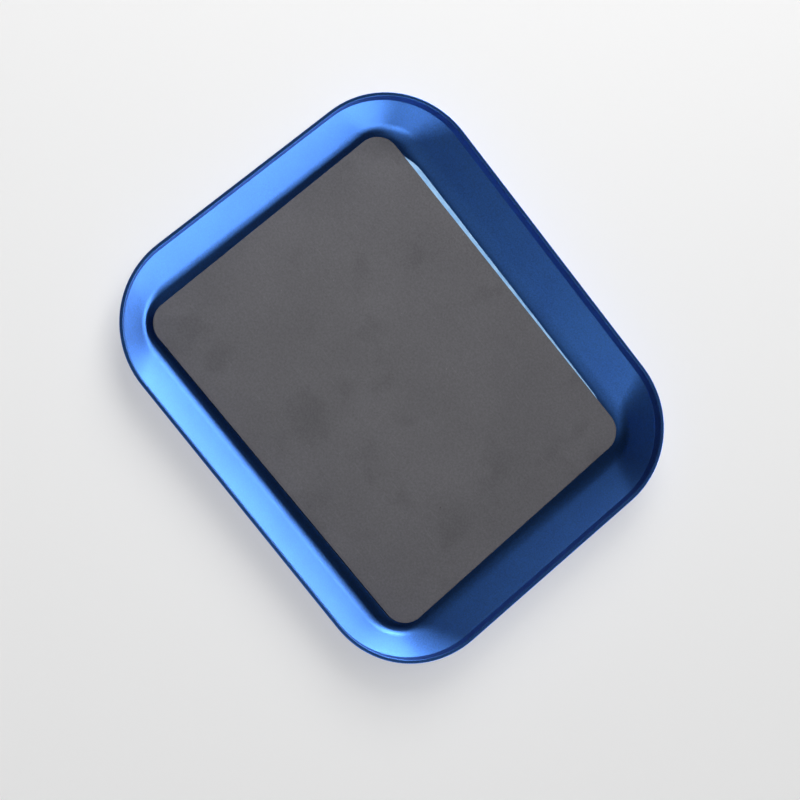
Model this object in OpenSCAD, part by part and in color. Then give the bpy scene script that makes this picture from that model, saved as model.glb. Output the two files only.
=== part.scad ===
// Magnetic parts tray: a drawn aluminium dish with a magnet mat stuck to its floor.
// Origin at the middle of the base, +X along the tray, +Z up. Millimetres.

/* [Tray] */
// Length of the tray over its rim
tray_l = 106; // [90:1:160]
// Width of the tray over its rim
tray_w = 88; // [74:1:140]
// Height from the base to the top of the rim
tray_h = 9.5; // [8:0.5:16]
// Thickness of the aluminium sheet
sheet_t = 0.8; // [0.6:0.1:1.2]
// Corner radius of the rim, seen from above
rim_r = 20.7; // [16:0.1:26]
// Corner radius of the flat floor, seen from above
floor_r = 5.7; // [4:0.1:9]

/* [Wall] */
// Height of the lip, from the bend in the wall to the top of the rim
lip_h = 2.5; // [2:0.1:4]
// Outward lean of the lip from upright, in degrees
lip_lean = 8; // [2:1:14]
// Slope of the flared wall from level, in degrees
wall_slope = 40; // [35:1:60]
// Inside radius of the bend between the wall and the lip
bend_r = 0.4; // [0.2:0.1:1]
// Inside radius of the root between the floor and the wall
root_r = 3; // [1:0.1:5]

/* [Mat] */
// Thickness of the magnet mat
mat_t = 1; // [0.5:0.1:2]
// Gap from each end of the mat to the edge of the flat floor
end_gap = 0.25; // [0.25:0.05:3]
// Gap from each long side of the mat to the edge of the flat floor
side_gap = 1.1; // [0.5:0.05:3]
// Turn of the mat as it was stuck down, in degrees
mat_turn = 0.9; // [0:0.1:1]
// Distance that the mat was stuck down off the middle of the floor, along the tray
mat_off_x = -0.15; // [-0.25:0.05:0.25]
// Distance that the mat was stuck down off the middle of the floor, across the tray
mat_off_y = -0.3; // [-0.5:0.05:0.5]

/* [Adhesive] */
// Thickness of the adhesive film under the mat
film_t = 0.1; // [0.05:0.05:0.3]
// Distance that the film is shorter than the mat, at each end
film_end_margin = 0.6; // [0.5:0.1:9]
// Distance that the film is narrower than the mat, along each long side
film_side_margin = 0.1; // [0.1:0.1:2]
// Corner radius of the film, which is cut rounder than the mat
film_r = 12; // [4:0.5:20]
// Turn of the film as it was laid, in degrees
film_turn = 0.1; // [0:0.05:0.5]
// Distance that the film was laid off the middle of the floor, across the tray
film_off_y = 0.75; // [0:0.05:0.95]

/* [Hidden] */

anodised_blue = "#3f78c8";
ferrite_grey = "#605f64";
film_white = "#e4e2da";

// Straight steps along each round stretch: a corner of the tray, the root and the bend
corner_steps = 14;
root_steps = 6;
bend_steps = 4;
// Angle between the straight steps over the rim's round edge
edge_step = 30;
// Overlap of the floor plate and the wall ring, which makes them one piece
floor_lap = 2;
// Smallest corner radius that the mat and its film are cut with
least_r = 0.5;

// The sheet's section is drawn in two directions: inset from the rim's outline, and height.
lip_slope = 90 - lip_lean;
edge_centre = [sheet_t / 2, tray_h - sheet_t / 2];
lip_face = edge_centre + sheet_t / 2 * facing(lip_slope);
bend_corner = lip_face + downhill(lip_slope) * (lip_face.y - tray_h + lip_h) / sin(lip_slope);
root_corner = bend_corner + downhill(wall_slope) * (bend_corner.y - sheet_t) / sin(wall_slope);
bend_start = bend_corner + downhill(wall_slope) * bend_r * tan((lip_slope - wall_slope) / 2);
bend_centre = bend_start + bend_r * facing(wall_slope);
floor_inset = root_corner.x + root_r * tan(wall_slope / 2);
root_centre = [floor_inset, sheet_t + root_r];

floor_l = tray_l - 2 * floor_inset;
floor_w = tray_w - 2 * floor_inset;
mat_l = floor_l - 2 * end_gap;
mat_w = floor_w - 2 * side_gap;
mat_r = max(least_r, floor_r - (end_gap + side_gap) / 2);
film_l = mat_l - 2 * film_end_margin;
film_w = mat_w - 2 * film_side_margin;
film_z = sheet_t;
mat_z = film_z + film_t;

// Direction that a face of the given slope looks in, and the direction that runs down it.
function facing(slope) = [sin(slope), cos(slope)];
function downhill(slope) = [cos(slope), -sin(slope)];
function steps(from, to, count) = [for (i = [0:count]) from + (to - from) * i / count];
function reversed(list) = [for (i = [len(list) - 1:-1:0]) list[i]];

// Distance from the rim's outline to a corner's centre. The lip's corners share one centre,
// and the wall's corners draw in from it to the tighter corner of the floor.
function corner_inset(inset) =
    let (down = max(0, inset - bend_corner.x) / (floor_inset - bend_corner.x))
    rim_r + (floor_inset + floor_r - rim_r) * down;

// One level line of the wall is [inset, height, inset of the corner's centre].
// Both faces of the sheet share the corner centres of the inside face.
function bent(centre, r, slopes, depth) = [
    for (slope = slopes)
        let (inside = centre - r * facing(slope))
        let (here = inside - depth * facing(slope))
        [here.x, here.y, corner_inset(inside.x)]
];

// Level lines of one face, from the floor up, at the given depth below the inside face.
function face_lines(depth) = concat(
    bent(root_centre, root_r, steps(0, wall_slope, root_steps), depth),
    bent(bend_centre, bend_r, steps(wall_slope, lip_slope, bend_steps), depth),
    bent(lip_face, 0, [lip_slope], depth));

// Level lines over the rim's round edge, from the outside to the inside.
function edge_lines() = [
    for (angle = [180:-edge_step:edge_step])
        let (here = edge_centre + sheet_t / 2 * [cos(angle), sin(angle)])
        [here.x, here.y, rim_r]
];

// Points of one level line, anticlockwise from the +X side.
function ring(line) = [
    for (corner = [0:3], i = [0:corner_steps])
        let (angle = 90 * (corner + i / corner_steps))
        let (side_x = corner == 0 || corner == 3 ? 1 : -1)
        let (side_y = corner < 2 ? 1 : -1)
        let (r = line[2] - line[0])
        [
            side_x * (tray_l / 2 - line[2]) + r * cos(angle),
            side_y * (tray_w / 2 - line[2]) + r * sin(angle),
            line[1]
        ]
];

module round_rectangle(l, w, r) {
    square([l - 2 * r, w], center = true);
    square([l, w - 2 * r], center = true);
    for (x = [-1, 1], y = [-1, 1])
        translate([x * (l / 2 - r), y * (w / 2 - r)])
            circle(r, $fn = 64);
}

// The wall is a closed ring, and its foot is the outer strip of the floor.
module wall_ring() {
    foot = floor_inset + floor_lap;
    foot_corner = corner_inset(floor_inset);
    lines = concat(
        [[foot, 0, foot_corner]],
        face_lines(sheet_t),
        edge_lines(),
        reversed(face_lines(0)),
        [[foot, sheet_t, foot_corner]]);
    around = 4 * (corner_steps + 1);
    count = len(lines);
    skin = [
        for (k = [0:count - 1], i = [0:around - 1])
            let (next = (i + 1) % around)
            let (here = k * around)
            let (there = (k + 1) % count * around)
            [here + i, there + i, there + next, here + next]
    ];
    polyhedron([for (line = lines) each ring(line)], skin, convexity = 4);
}

// A flat sheet with round corners, laid off the middle and turned.
module laid_sheet(l, w, r, t, off, turn) {
    translate(off)
        rotate(turn)
            linear_extrude(t)
                round_rectangle(l, w, r);
}

module tray_shell() {
    color(anodised_blue) {
        wall_ring();
        linear_extrude(sheet_t)
            round_rectangle(floor_l - floor_lap, floor_w - floor_lap, floor_r - floor_lap / 2);
    }
}

// The film was laid first. Its edge shows beside the mat along one long side.
module mat_adhesive() {
    color(film_white)
        laid_sheet(film_l, film_w, film_r, film_t, [0, film_off_y, film_z], film_turn);
}

module magnet_mat() {
    color(ferrite_grey)
        laid_sheet(mat_l, mat_w, mat_r, mat_t, [mat_off_x, mat_off_y, mat_z], mat_turn);
}

tray_shell();
mat_adhesive();
magnet_mat();
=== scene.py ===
"""Magnetic parts tray: a drawn aluminium dish with a magnet mat stuck to its floor. In metres, at rest."""

import bpy
import math
from mathutils import Euler, Matrix, Vector


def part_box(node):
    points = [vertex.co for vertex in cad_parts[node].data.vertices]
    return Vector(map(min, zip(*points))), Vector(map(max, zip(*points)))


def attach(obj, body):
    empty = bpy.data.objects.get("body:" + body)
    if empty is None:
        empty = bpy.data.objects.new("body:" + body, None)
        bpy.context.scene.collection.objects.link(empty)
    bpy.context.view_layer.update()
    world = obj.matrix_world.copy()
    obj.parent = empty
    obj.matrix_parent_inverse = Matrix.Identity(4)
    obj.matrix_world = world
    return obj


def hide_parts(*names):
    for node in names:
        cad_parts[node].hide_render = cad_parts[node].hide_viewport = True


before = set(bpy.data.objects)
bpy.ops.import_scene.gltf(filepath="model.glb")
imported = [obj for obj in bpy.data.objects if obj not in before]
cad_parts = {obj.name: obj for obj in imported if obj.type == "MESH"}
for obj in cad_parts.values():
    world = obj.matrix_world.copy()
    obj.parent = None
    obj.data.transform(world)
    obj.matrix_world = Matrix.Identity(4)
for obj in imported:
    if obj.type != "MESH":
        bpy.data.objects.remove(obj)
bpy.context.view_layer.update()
scene = bpy.context.scene


# Tray shell
# One blank of thin aluminium sheet, drawn over a former to a shallow dish with flared walls. The edge is
# turned up to a short lip, trimmed flat, and broken on both sides. The dish is then bead-blasted, anodised
# and dyed blue.

MM = 0.001


def add(tree, kind, inputs=None, **settings):
    """Adds a node with its settings. An input, by name or number, takes a value, a socket, or a node, which
    stands for its first output."""
    made = tree.nodes.new(kind)
    for name, value in settings.items():
        setattr(made, name, value)
    for key, value in (inputs or {}).items():
        if isinstance(value, bpy.types.Node):
            value = value.outputs[0]
        if isinstance(value, bpy.types.NodeSocket):
            tree.links.new(value, made.inputs[key])
        else:
            made.inputs[key].default_value = value
    return made


def linear(colour):
    """An sRGB hex colour as a linear one."""
    parts = [int(colour[i:i + 2], 16) / 255 for i in (1, 3, 5)]
    return [p / 12.92 if p <= 0.04045 else ((p + 0.055) / 1.055) ** 2.4 for p in parts] + [1.0]


def carried(tree, value, ends, onto):
    """A value carried from one range onto another, held at its ends."""
    return add(tree, "ShaderNodeMapRange", {"Value": value, "From Min": ends[0], "From Max": ends[1],
                                            "To Min": onto[0], "To Max": onto[1]})


# Nearly all the values of a noise lie in this range.
noise_spread = (0.3, 0.7)


def blasted_anodised_aluminium():
    """Anodised aluminium, bead-blasted first. The eye sees dyed metal with a soft broad sheen, a fine even
    grain from the beads, and over it the paler reflection of the clear sealed oxide."""
    material = bpy.data.materials.new("anodised_aluminium_bead_blasted_blue")
    material.use_nodes = True
    tree = material.node_tree
    shader = tree.nodes["Principled BSDF"]
    place = add(tree, "ShaderNodeTexCoord").outputs["Object"]

    # The beads leave dimples of about 0.1 mm. They are drawn 0.35 mm wide, the finest that the render shows.
    grain = add(tree, "ShaderNodeTexNoise", {"Vector": place, "Scale": 1 / (0.35 * MM), "Detail": 2.0,
                                             "Roughness": 0.6})
    # The dye takes a little unevenly over patches of about 12 mm.
    cloud = add(tree, "ShaderNodeTexNoise", {"Vector": place, "Scale": 1 / (12 * MM), "Detail": 3.0})
    dyed = add(tree, "ShaderNodeValToRGB", {"Fac": cloud.outputs["Fac"]})
    for stop, place_on_ramp, hue in zip(dyed.color_ramp.elements, (0.35, 0.65), ("#3678d6", "#3a7edb")):
        stop.position, stop.color = place_on_ramp, linear(hue)
    speckle = carried(tree, grain, noise_spread, (0.83, 1.17))
    colour = add(tree, "ShaderNodeVectorMath", {0: dyed, "Scale": speckle}, operation="SCALE")
    rough = carried(tree, grain, noise_spread, (0.37, 0.43))
    bump = add(tree, "ShaderNodeBump", {"Strength": 0.17, "Distance": 0.02 * MM, "Height": grain})
    for socket, source in (("Base Color", colour), ("Roughness", rough), ("Normal", bump)):
        tree.links.new(source.outputs[0], shader.inputs[socket])
    shader.inputs["Metallic"].default_value = 1.0
    shader.inputs["Coat Weight"].default_value = 1.0
    shader.inputs["Coat Roughness"].default_value = 0.4
    shader.inputs["Coat IOR"].default_value = 1.45
    return material


def skin_tree():
    """Level lines become round-cornered rings, and a skin is laid over the rings from first to last."""
    tree = bpy.data.node_groups.new("skin_over_level_lines", "GeometryNodeTree")
    for name, kind in (("Level lines", "Geometry"), ("Length", "Float"), ("Width", "Float"),
                       ("Corner steps", "Int"), ("Weld", "Float"), ("Material", "Material")):
        tree.interface.new_socket(name, in_out="INPUT", socket_type="NodeSocket" + kind)
    tree.interface.new_socket("Skin", in_out="OUTPUT", socket_type="NodeSocketGeometry")
    given = add(tree, "NodeGroupInput").outputs

    # One rectangle for each level line, with its corners rounded off
    inset = add(tree, "GeometryNodeInputNamedAttribute", {"Name": "inset"})
    centre = add(tree, "GeometryNodeInputNamedAttribute", {"Name": "corner_inset"})
    both = add(tree, "ShaderNodeMath", {0: inset, 1: 2.0}, operation="MULTIPLY")
    span_x = add(tree, "ShaderNodeMath", {0: given["Length"], 1: both}, operation="SUBTRACT")
    span_y = add(tree, "ShaderNodeMath", {0: given["Width"], 1: both}, operation="SUBTRACT")
    size = add(tree, "ShaderNodeCombineXYZ", {0: span_x, 1: span_y, 2: 1.0})
    square = add(tree, "GeometryNodeCurvePrimitiveQuadrilateral", {"Width": 1.0, "Height": 1.0})
    laid = add(tree, "GeometryNodeInstanceOnPoints",
               {"Points": given["Level lines"], "Instance": square, "Scale": size})
    frames = add(tree, "GeometryNodeRealizeInstances", {"Geometry": laid})
    radius = add(tree, "ShaderNodeMath", {0: centre, 1: inset}, operation="SUBTRACT")
    rings = add(tree, "GeometryNodeFilletCurve",
                {"Curve": frames, "Count": given["Corner steps"], "Radius": radius}, mode="POLY")

    # A grid of as many rows as lines, whose points go to the points of the rings in turn
    counts = add(tree, "GeometryNodeAttributeDomainSize", {"Geometry": rings}, component="CURVE").outputs
    around = add(tree, "FunctionNodeIntegerMath", {0: counts["Point Count"], 1: counts["Spline Count"]},
                 operation="DIVIDE")
    columns = add(tree, "FunctionNodeIntegerMath", {0: around, 1: 1}, operation="ADD")
    grid = add(tree, "GeometryNodeMeshGrid", {"Vertices X": counts["Spline Count"], "Vertices Y": columns})
    index = add(tree, "GeometryNodeInputIndex")
    row = add(tree, "FunctionNodeIntegerMath", {0: index, 1: columns}, operation="DIVIDE")
    column = add(tree, "FunctionNodeIntegerMath", {0: index, 1: columns}, operation="MODULO")
    turn = add(tree, "FunctionNodeIntegerMath", {0: column, 1: around}, operation="MODULO")
    start = add(tree, "FunctionNodeIntegerMath", {0: row, 1: around}, operation="MULTIPLY")
    point = add(tree, "FunctionNodeIntegerMath", {0: start, 1: turn}, operation="ADD")
    position = add(tree, "GeometryNodeInputPosition")
    found = add(tree, "GeometryNodeSampleIndex", data_type="FLOAT_VECTOR", domain="POINT")
    tree.links.new(rings.outputs[0], found.inputs["Geometry"])
    tree.links.new(position.outputs[0], found.inputs["Value"])
    tree.links.new(point.outputs[0], found.inputs["Index"])
    skin = add(tree, "GeometryNodeSetPosition", {"Geometry": grid, "Position": found})
    closed = add(tree, "GeometryNodeMergeByDistance", {"Geometry": skin, "Distance": given["Weld"]})
    outward = add(tree, "GeometryNodeFlipFaces", {"Mesh": closed})
    smooth = add(tree, "GeometryNodeSetShadeSmooth", {"Geometry": outward})
    whole = add(tree, "GeometryNodeRealizeInstances", {"Geometry": smooth})
    done = add(tree, "GeometryNodeSetMaterial", {"Geometry": whole, "Material": given["Material"]})
    add(tree, "NodeGroupOutput", {0: done})
    return tree


def skinned(name, tree, lines, length, width, corner_steps, material):
    """A piece from its level lines, from one middle to the other. Each line is [inset, height, inset of the
    corner's centre]."""
    rows = bpy.data.meshes.new(name + "_lines")
    rows.from_pydata([(0, 0, height) for _, height, _ in lines], [], [])
    for attribute, column in (("inset", 0), ("corner_inset", 2)):
        values = rows.attributes.new(attribute, "FLOAT", "POINT")
        values.data.foreach_set("value", [line[column] for line in lines])
    maker = bpy.data.objects.new(name + "_lines", rows)
    scene.collection.objects.link(maker)
    modifier = maker.modifiers.new("skin", "NODES")
    modifier.node_group = tree
    sizes = {"Length": length, "Width": width, "Corner steps": corner_steps, "Weld": 0.002 * MM,
             "Material": material}
    for socket in tree.interface.items_tree:
        if socket.name in sizes:
            modifier[socket.identifier] = sizes[socket.name]
    mesh = bpy.data.meshes.new_from_object(maker.evaluated_get(bpy.context.evaluated_depsgraph_get()))
    bpy.data.objects.remove(maker)
    # The grid comes with an empty material slot before its own.
    mesh.materials.clear()
    mesh.materials.append(material)
    mesh.polygons.foreach_set("material_index", [0] * len(mesh.polygons))
    mesh.name = name
    piece = bpy.data.objects.new(name, mesh)
    scene.collection.objects.link(piece)
    return piece


def facing(slope):
    """The way that a face of this slope looks: across, in from the rim, and up."""
    return Vector((math.sin(slope), math.cos(slope)))


def downhill(slope):
    """The way that runs down a face of this slope."""
    return Vector((math.cos(slope), -math.sin(slope)))


low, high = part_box("tray_shell")
tray_l, tray_w, tray_h = high - low
sheet_t = 0.8 * MM
rim_r, floor_r = 20.7 * MM, 5.7 * MM
lip_h, lip_slope, wall_slope = 2.5 * MM, math.radians(82), math.radians(40)
bend_r, root_r = 0.4 * MM, 3 * MM
root_steps, bend_steps = 16, 6

edge_centre = Vector((sheet_t / 2, tray_h - sheet_t / 2))
lip_face = edge_centre + sheet_t / 2 * facing(lip_slope)
bend_corner = lip_face + downhill(lip_slope) * (lip_face.y - tray_h + lip_h) / math.sin(lip_slope)
root_corner = bend_corner + downhill(wall_slope) * (bend_corner.y - sheet_t) / math.sin(wall_slope)
bend_start = bend_corner + downhill(wall_slope) * bend_r * math.tan((lip_slope - wall_slope) / 2)
bend_centre = bend_start + bend_r * facing(wall_slope)
floor_inset = root_corner.x + root_r * math.tan(wall_slope / 2)
# The root is drawn softer than the plain solid's, which moves the sheet by 0.3 mm at most.
soft_root_r = 7 * MM
root_centre = Vector((root_corner.x + soft_root_r * math.tan(wall_slope / 2), sheet_t + soft_root_r))


def corner_inset(inset):
    """From the rim's outline to a corner's centre: one centre for the lip, then drawing in down the wall to
    the floor's."""
    down = max(0, inset - bend_corner.x) / (floor_inset - bend_corner.x)
    return rim_r + (floor_inset + floor_r - rim_r) * down


def bent(centre, radius, start, end, steps, depth):
    """Level lines round a bend of the sheet, at this depth below its inside face."""
    lines = []
    for i in range(steps + 1):
        slope = start + (end - start) * i / steps
        inside = centre - radius * facing(slope)
        here = inside - depth * facing(slope)
        lines.append((here.x, here.y, corner_inset(inside.x)))
    return lines


def between(a, b, shares):
    """Level lines on the flat between two others, at these shares of the way."""
    return [tuple(p + (q - p) * share for p, q in zip(a, b)) for share in shares]


def face_lines(depth):
    """Level lines of one face of the sheet, from the floor up."""
    root = bent(root_centre, soft_root_r, 0, wall_slope, root_steps, depth)
    bend = bent(bend_centre, bend_r, wall_slope, lip_slope, bend_steps, depth)
    lip = bent(lip_face, 0, lip_slope, lip_slope, 1, depth)[:1]
    return (root + between(root[-1], bend[0], (0.04, 0.35, 0.65, 0.96)) + bend
            + between(bend[-1], lip[0], (0.06, 0.5, 0.94)) + lip)


def middle_lines(height, inset, centre, width):
    """Level lines of a flat face, from near its edge in to a seam along its middle, which is welded shut."""
    edge = (inset, height, centre)
    seam = (width / 2, height, width / 2)
    return between(edge, seam, (0.03, 0.999999))


def broken_edge(centre, radius, start, end, steps=5):
    """Level lines round one edge of the trimmed rim, between two angles in degrees from straight inward."""
    lines = []
    for i in range(steps + 1):
        angle = math.radians(start + (end - start) * i / steps)
        lines.append((centre.x + radius * math.cos(angle), centre.y + radius * math.sin(angle), rim_r))
    return lines


# The rim is trimmed flat, and its two edges are broken to a small radius.
trim_r = 0.15 * MM
outer_centre = Vector((trim_r, tray_h - trim_r))
inner_centre = Vector(((lip_face.dot(facing(lip_slope)) - trim_r - outer_centre.y * math.cos(lip_slope))
                       / math.sin(lip_slope), outer_centre.y))
outer_edge = broken_edge(outer_centre, trim_r, 180, 90)
inner_edge = broken_edge(inner_centre, trim_r, 90, 90 - math.degrees(lip_slope))
rim_edge = outer_edge + between(outer_edge[-1], inner_edge[0], (0.08, 0.92)) + inner_edge

root_line = face_lines(0)[0]
shell_lines = (middle_lines(0, root_line[0], root_line[2], tray_w)[::-1] + face_lines(sheet_t) + rim_edge
               + face_lines(0)[::-1] + middle_lines(sheet_t, root_line[0], root_line[2], tray_w))
skin_maker = skin_tree()
shell = skinned("dish_shell", skin_maker, shell_lines, tray_l, tray_w, corner_steps=24,
                material=blasted_anodised_aluminium())
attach(shell, "root")
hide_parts("tray_shell")


# Adhesive film
# A double-sided acrylic film with round corners, cut a little smaller than the mat, which it holds to the
# floor of the dish. It lies a little off centre, so its edge shows along one long side. Its pale blue there
# is a painted highlight: it stands in for the bright line of light on the metal beside the mat.

def film_with_painted_highlight():
    """Acrylic adhesive film, pressed down on the floor. The eye sees a thin milky sheet with faint trapped
    bubbles. Its pale blue is a painted highlight, as light as the lit metal beside the mat."""
    material = bpy.data.materials.new("acrylic_film_painted_highlight")
    material.use_nodes = True
    tree = material.node_tree
    shader = tree.nodes["Principled BSDF"]
    place = add(tree, "ShaderNodeTexCoord").outputs["Object"]
    # Bubbles are about 2 mm wide.
    bubble = add(tree, "ShaderNodeTexNoise", {"Vector": place, "Scale": 1 / (2 * MM), "Detail": 2.0})
    tone = add(tree, "ShaderNodeValToRGB", {"Fac": bubble.outputs["Fac"]})
    # The two pale blues are a painted highlight, the colour of the bright line of light on the metal beside
    # the mat.
    for stop, place_on_ramp, hue in zip(tone.color_ramp.elements, (0.35, 0.65), ("#86bcf0", "#a2d0fa")):
        stop.position, stop.color = place_on_ramp, linear(hue)
    tree.links.new(tone.outputs[0], shader.inputs["Base Color"])
    shader.inputs["Roughness"].default_value = 0.35
    return material


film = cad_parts["mat_adhesive"]
film.data.materials.clear()
film.data.materials.append(film_with_painted_highlight())


# Magnet mat
# A flexible sheet of rubber-bonded ferrite, rolled to one thickness and die-cut with round corners. It is
# stuck down on the film, a little askew.

def ferrite_rubber():
    """Rubber filled with ferrite powder, rolled smooth. The eye sees a matt dark grey with faint clouds from
    handling, a fine powder grain, a few flecks of dust, pin holes and short light scuffs."""
    material = bpy.data.materials.new("ferrite_rubber_rolled")
    material.use_nodes = True
    tree = material.node_tree
    shader = tree.nodes["Principled BSDF"]
    place = add(tree, "ShaderNodeTexCoord").outputs["Object"]

    # Handling leaves clouds of about 16 mm and darker patches of about 9 mm.
    cloud = add(tree, "ShaderNodeTexNoise", {"Vector": place, "Scale": 1 / (16 * MM), "Detail": 4.0,
                                             "Roughness": 0.5})
    touch = add(tree, "ShaderNodeTexNoise", noise_dimensions="4D",
                inputs={"Vector": place, "Scale": 1 / (9 * MM), "Detail": 2.0, "W": 3.0})
    # The powder grains are under 0.1 mm. They are drawn 0.45 mm wide, the finest that the render shows.
    grain = add(tree, "ShaderNodeTexNoise", {"Vector": place, "Scale": 1 / (0.45 * MM), "Detail": 2.0,
                                             "Roughness": 0.7})
    shade = carried(tree, cloud, noise_spread, (0.93, 1.07))
    dark = carried(tree, touch, (0.55, 0.66), (1.0, 0.86))
    powder = carried(tree, grain, noise_spread, (0.86, 1.14))
    level = add(tree, "ShaderNodeMath", {0: shade, 1: dark}, operation="MULTIPLY")
    level = add(tree, "ShaderNodeMath", {0: level, 1: powder}, operation="MULTIPLY")

    # Flecks and pin holes: one in each cell of a few millimetres, and only some of the cells have one.
    for cell, radius, share, lift in ((5.0, 0.16, 0.16, 0.9), (7.0, 0.2, 0.2, -0.55)):
        spots = add(tree, "ShaderNodeTexVoronoi", {"Vector": place, "Scale": 1 / (cell * MM)},
                    voronoi_dimensions="3D")
        outside, core = radius / cell, 0.4 * radius / cell
        near = carried(tree, spots.outputs["Distance"], (outside, core), (0.0, lift))
        chance = add(tree, "ShaderNodeSeparateColor", {"Color": spots.outputs["Color"]})
        chosen = add(tree, "ShaderNodeMath", {0: chance.outputs[0], 1: share}, operation="LESS_THAN")
        fleck = add(tree, "ShaderNodeMath", {0: near, 1: chosen}, operation="MULTIPLY")
        level = add(tree, "ShaderNodeMath", {0: level, 1: fleck}, operation="ADD")

    # Scuffs are about 4 mm long and 0.25 mm wide, in two directions.
    for turn in (35, 110):
        along = add(tree, "ShaderNodeMapping", {"Vector": place, "Rotation": (0, 0, math.radians(turn)),
                                                "Scale": (1 / (4 * MM), 1 / (0.25 * MM), 1 / (4 * MM))})
        scuff = add(tree, "ShaderNodeTexNoise", {"Vector": along, "Scale": 1.0, "Detail": 0.0})
        streak = carried(tree, scuff, (0.79, 0.86), (0.0, 0.14))
        level = add(tree, "ShaderNodeMath", {0: level, 1: streak}, operation="ADD")

    colour = add(tree, "ShaderNodeVectorMath", {0: linear("#5e5d61")[:3], "Scale": level}, operation="SCALE")
    bump = add(tree, "ShaderNodeBump", {"Strength": 0.2, "Distance": 0.02 * MM, "Height": grain})
    for socket, source in (("Base Color", colour), ("Normal", bump)):
        tree.links.new(source.outputs[0], shader.inputs[socket])
    shader.inputs["Roughness"].default_value = 0.75
    return material


mat_turn = math.radians(0.9)
mat_off = Vector((-0.15, -0.3, 0)) * MM
end_gap, side_gap = 0.25 * MM, 1.1 * MM
mat_r = floor_r - (end_gap + side_gap) / 2
mat_l, mat_w = tray_l - 2 * (floor_inset + end_gap), tray_w - 2 * (floor_inset + side_gap)
mat_low, mat_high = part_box("magnet_mat")
mat_bottom, mat_top = mat_low.z, mat_high.z
# The cut side is upright, with a line near each end of it, and its top edge is worn round.
edge_r, edge_lap, edge_steps = 0.12 * MM, 0.03 * MM, 6
side_heights = (mat_bottom, mat_bottom + edge_lap, mat_top - edge_r - edge_lap)
mat_edge = [(0, height, mat_r) for height in side_heights]
for i in range(edge_steps + 1):
    angle = math.pi / 2 * i / edge_steps
    mat_edge.append((edge_r * (1 - math.cos(angle)), mat_top - edge_r * (1 - math.sin(angle)), mat_r))
mat_lines = (middle_lines(mat_bottom, 0, mat_r, mat_w)[::-1] + mat_edge
             + middle_lines(mat_top, edge_r, mat_r, mat_w))
mat = skinned("ferrite_mat", skin_maker, mat_lines, mat_l, mat_w, corner_steps=16,
              material=ferrite_rubber())
mat.data.transform(Matrix.Translation(mat_off) @ Matrix.Rotation(mat_turn, 4, "Z"))
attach(mat, "root")
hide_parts("magnet_mat")


# Floor, light and camera
# A pale studio cove, and soft panels round the tray that shine in its metal. Two lamps above light the mat
# and the board. The camera was fitted to the rim's outline in the photograph.

def pale_board():
    """Matt pale board. The camera and the metal see it partly as a light of its own, so that it stays
    even."""
    own_light = 0.55
    material = bpy.data.materials.new("pale_board")
    material.use_nodes = True
    tree = material.node_tree
    shader = tree.nodes["Principled BSDF"]
    shader.inputs["Base Color"].default_value = linear("#f3f3f3")
    shader.inputs["Roughness"].default_value = 0.9
    shader.inputs["Specular IOR Level"].default_value = 0.0
    rays = add(tree, "ShaderNodeLightPath").outputs
    seen = add(tree, "ShaderNodeMath", {0: rays["Is Camera Ray"], 1: rays["Is Glossy Ray"]},
               operation="MAXIMUM")
    seen = add(tree, "ShaderNodeMath", {0: seen, 1: rays["Is Transmission Ray"]}, operation="MAXIMUM")
    share = add(tree, "ShaderNodeMath", {0: seen, 1: own_light}, operation="MULTIPLY")
    glow = add(tree, "ShaderNodeEmission", {"Color": linear("#f3f3f3"), "Strength": 1.0})
    mixed = add(tree, "ShaderNodeMixShader", {0: share, 1: shader, 2: glow})
    tree.links.new(mixed.outputs[0], tree.nodes["Material Output"].inputs["Surface"])
    return material


# The board lies flat for 2.6 m around the tray, then curves up to a low wall.
floor_reach, cove_r, wall_top, cove_parts, curve_steps = 2.6, 0.2, 0.32, 64, 8
cove_profile = [(floor_reach, 0.0)]
for i in range(1, curve_steps + 1):
    angle = math.pi / 2 * i / curve_steps
    cove_profile.append((floor_reach + cove_r * math.sin(angle), cove_r * (1 - math.cos(angle))))
cove_profile.append((floor_reach + cove_r, wall_top))
cove_points, cove_faces = [(0, 0, 0)], []
for radius, height in cove_profile:
    for i in range(cove_parts):
        angle = 2 * math.pi * i / cove_parts
        cove_points.append((radius * math.cos(angle), radius * math.sin(angle), height))
for i in range(cove_parts):
    after = (i + 1) % cove_parts
    cove_faces.append((0, 1 + i, 1 + after))
    for row in range(len(cove_profile) - 1):
        low_row, high_row = 1 + row * cove_parts, 1 + (row + 1) * cove_parts
        cove_faces.append((low_row + i, high_row + i, high_row + after, low_row + after))
cove_mesh = bpy.data.meshes.new("cove")
cove_mesh.from_pydata(cove_points, [], cove_faces)
cove_mesh.materials.append(pale_board())
cove = bpy.data.objects.new("cove", cove_mesh)
# It lies a hair below the tray's base, so that the two faces don't fall together.
cove.location.z = -0.02 * MM
scene.collection.objects.link(cove)


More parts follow.
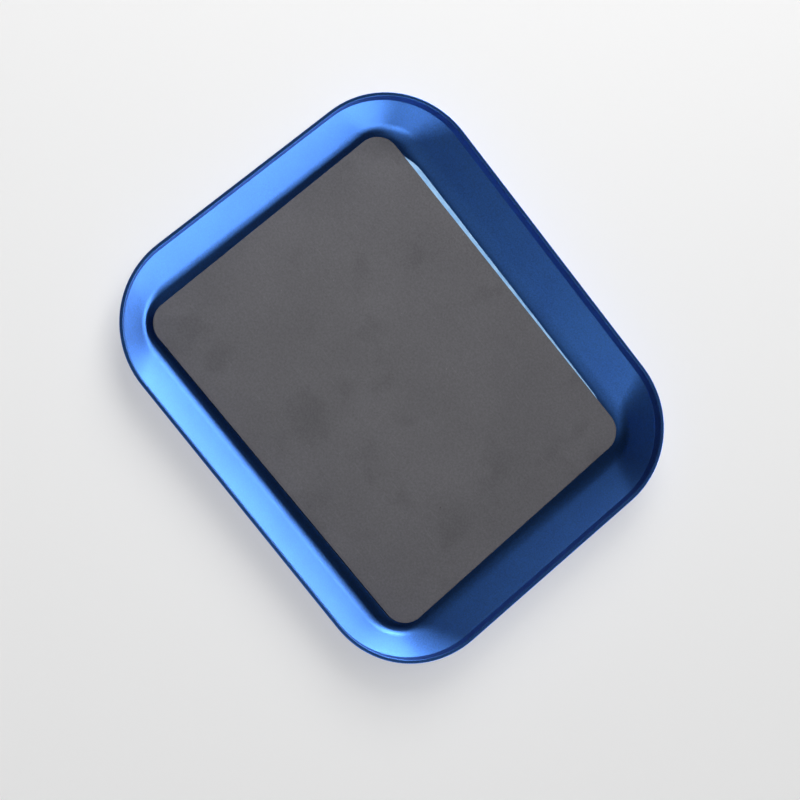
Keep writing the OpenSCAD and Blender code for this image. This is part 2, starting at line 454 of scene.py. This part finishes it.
def softbox(name, azimuth, elevation, distance, size, power, on_metal=True):
    """A soft lamp turned to the tray: azimuth from the tray's long side and elevation in degrees, distance
    and size in metres, power in watts. It shines in the metal, or else on the matt surfaces."""
    lamp = bpy.data.lights.new(name, "AREA")
    lamp.shape = "RECTANGLE"
    lamp.size, lamp.size_y = size
    lamp.energy = power
    thing = bpy.data.objects.new(name, lamp)
    around, up = math.radians(azimuth), math.radians(elevation)
    level = math.cos(up)
    thing.location = distance * Vector((level * math.cos(around), level * math.sin(around), math.sin(up)))
    thing.rotation_euler = (-thing.location).to_track_quat("-Z", "Y").to_euler()
    thing.visible_glossy, thing.visible_diffuse = on_metal, not on_metal
    thing.visible_camera = False
    scene.collection.objects.link(thing)


softbox("low_front", -48, 27, 0.8, (0.5, 0.2), 1.32)
softbox("low_right_a", -3, 9, 0.7, (0.5, 0.22), 1.88)
softbox("low_right_b", 44, 8, 0.7, (0.54, 0.2), 3.1)
softbox("low_back_a", 82, 8, 0.7, (0.38, 0.2), 1.5)
softbox("low_back_b", 112, 8, 0.7, (0.38, 0.2), 3.9)
softbox("low_back_c", 143, 12, 0.7, (0.4, 0.28), 0.4)
softbox("tall_front", 303, 60, 0.8, (0.46, 0.8), 0.41)
softbox("mid_back", 116, 31, 0.75, (0.42, 0.28), 0.14)
softbox("overhead", 110, 72, 1.1, (0.6, 0.6), 3.2, on_metal=False)
softbox("high_back", 135, 45, 0.45, (0.3, 0.3), 1.87, on_metal=False)

world = bpy.data.worlds.new("studio")
scene.world = world
world.use_nodes = True
world.node_tree.nodes["Background"].inputs["Color"].default_value = linear("#f3f3f3")
world.node_tree.nodes["Background"].inputs["Strength"].default_value = 0.03

camera_data = bpy.data.cameras.new("camera")
camera_data.sensor_width = 36
camera_data.lens = 78.75
camera_data.clip_start = 0.01
camera = bpy.data.objects.new("camera", camera_data)
camera.location = (-36.79 * MM, -84.04 * MM, 367.44 * MM)
camera.rotation_euler = Euler([math.radians(a) for a in (3.046, -13.807, 50.738)])
scene.collection.objects.link(camera)
scene.camera = camera

scene.view_settings.view_transform = "Standard"
